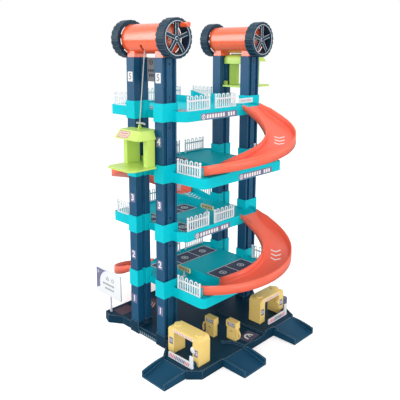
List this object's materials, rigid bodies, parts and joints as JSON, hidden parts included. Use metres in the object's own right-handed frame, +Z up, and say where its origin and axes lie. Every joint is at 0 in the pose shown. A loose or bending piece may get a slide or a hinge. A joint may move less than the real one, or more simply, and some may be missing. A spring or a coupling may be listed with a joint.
{
  "type": "toy parking garage with lift",
  "caption": "Toy parking garage: decks on stacked columns between two crank-wound lifts, curved ramps, and a base with exit ramps, toll arches and barriers.",
  "frame": {"origin": "on the floor, midway between the four columns, at the flat underside of the base plate", "axes": "+Z up; X runs from the lift tower A at -X to the tower B at +X; -Y is the front, where the two exit ramps leave"},
  "size_m": [0.3593, 0.3676, 0.5189],
  "materials": {
    "navy_plastic": "satin moulded",
    "teal_plastic": "semi-gloss moulded",
    "coral_plastic": "semi-gloss moulded",
    "orange_plastic": "glossy moulded",
    "wheel_plastic": "satin moulded",
    "lime_plastic": "semi-gloss moulded",
    "cream_plastic": "semi-gloss moulded",
    "white_plastic": "satin moulded",
    "slate_plastic": "satin moulded",
    "string": "twisted cord"
  },
  "bodies": {
    "garage": {"base_plate": "navy_plastic", "exit_ramp_side": "navy_plastic", "exit_ramp_middle": "navy_plastic", "exit_ramp_right": "navy_plastic", "fuel_pump_1": "cream_plastic", "fuel_pump_2": "cream_plastic", "info_sign": "white_plastic", "column_a_back_1": "navy_plastic", "column_a_back_2": "navy_plastic", "column_a_back_3": "navy_plastic", "column_a_back_4": "navy_plastic", "column_a_back_5": "navy_plastic", "column_a_front_1": "navy_plastic", "column_a_front_2": "navy_plastic", "column_a_front_3": "navy_plastic", "column_a_front_4": "navy_plastic", "column_a_front_5": "navy_plastic", "column_b_back_1": "navy_plastic", "column_b_back_2": "navy_plastic", "column_b_back_3": "navy_plastic", "column_b_back_4": "navy_plastic", "column_b_back_5": "navy_plastic", "column_b_front_1": "navy_plastic", "column_b_front_2": "navy_plastic", "column_b_front_3": "navy_plastic", "column_b_front_4": "navy_plastic", "column_b_front_5": "navy_plastic", "deck_2": "teal_plastic", "deck_3": "teal_plastic", "deck_4": "teal_plastic", "deck_5": "teal_plastic", "curved_ramp_2": "coral_plastic", "curved_ramp_3": "coral_plastic", "curved_ramp_4": "coral_plastic", "curved_ramp_5": "coral_plastic", "fence_2_side": "white_plastic", "fence_3_left": "white_plastic", "fence_3_right": "white_plastic", "fence_4_side": "white_plastic", "fence_5_left": "white_plastic", "fence_5_right": "white_plastic", "drum_housing_a": "orange_plastic", "drum_housing_b": "orange_plastic", "lift_string_a": "string", "lift_string_b": "string", "toll_arch_side": "cream_plastic", "toll_arch_front": "cream_plastic", "ticket_box": "slate_plastic"},
    "crank_a": {"spool_axle_a": "white_plastic", "crank_wheel_a": "wheel_plastic", "far_wheel_a": "wheel_plastic"},
    "crank_b": {"spool_axle_b": "white_plastic", "crank_wheel_b": "wheel_plastic", "far_wheel_b": "wheel_plastic"},
    "knob_a": {"crank_knob_a": "orange_plastic"},
    "knob_b": {"crank_knob_b": "orange_plastic"},
    "lift_a": {"lift_cabin_a": "lime_plastic"},
    "lift_b": {"lift_cabin_b": "lime_plastic"},
    "barrier_side": {"barrier_arm_side": "white_plastic"},
    "barrier_front": {"barrier_arm_front": "white_plastic"}
  },
  "joints": [
    {"name": "crank_a_turn", "type": "hinge", "parent": "garage", "child": "crank_a", "pos_m": [-0.1, 0, 0.4895], "axis": [0, 1, 0], "range_deg": [-1621, 638]},
    {"name": "crank_b_turn", "type": "hinge", "parent": "garage", "child": "crank_b", "pos_m": [0.1, 0, 0.4895], "axis": [0, -1, 0], "range_deg": [-2260, 0]},
    {"name": "knob_a_spin", "type": "hinge", "parent": "crank_a", "child": "knob_a", "pos_m": [-0.09306, -0.0665, 0.50858], "axis": [0, 1, 0], "continuous": true},
    {"name": "knob_b_spin", "type": "hinge", "parent": "crank_b", "child": "knob_b", "pos_m": [0.116, 0.0665, 0.502], "axis": [0, 1, 0], "continuous": true},
    {"name": "lift_a_travel", "type": "slide", "parent": "garage", "child": "lift_a", "axis": [0, 0, 1], "range_m": [-0.283, 0.1115], "deforming": ["lift_string_a"]},
    {"name": "lift_b_travel", "type": "slide", "parent": "garage", "child": "lift_b", "axis": [0, 0, 1], "range_m": [-0.3945, 0], "deforming": ["lift_string_b"]},
    {"name": "barrier_side_lift", "type": "hinge", "parent": "garage", "child": "barrier_side", "pos_m": [-0.1385, -0.127, 0.018], "axis": [1, 0, 0], "range_deg": [0, 90]},
    {"name": "barrier_front_lift", "type": "hinge", "parent": "garage", "child": "barrier_front", "pos_m": [0.089, -0.1305, 0.021], "axis": [0, 1, 0], "range_deg": [0, 90]}
  ],
  "couplings": [
    {"joint": "lift_a_travel", "follows": "crank_a_turn", "m_per_rad": 0.01},
    {"joint": "lift_b_travel", "follows": "crank_b_turn", "m_per_rad": 0.01}
  ]
}
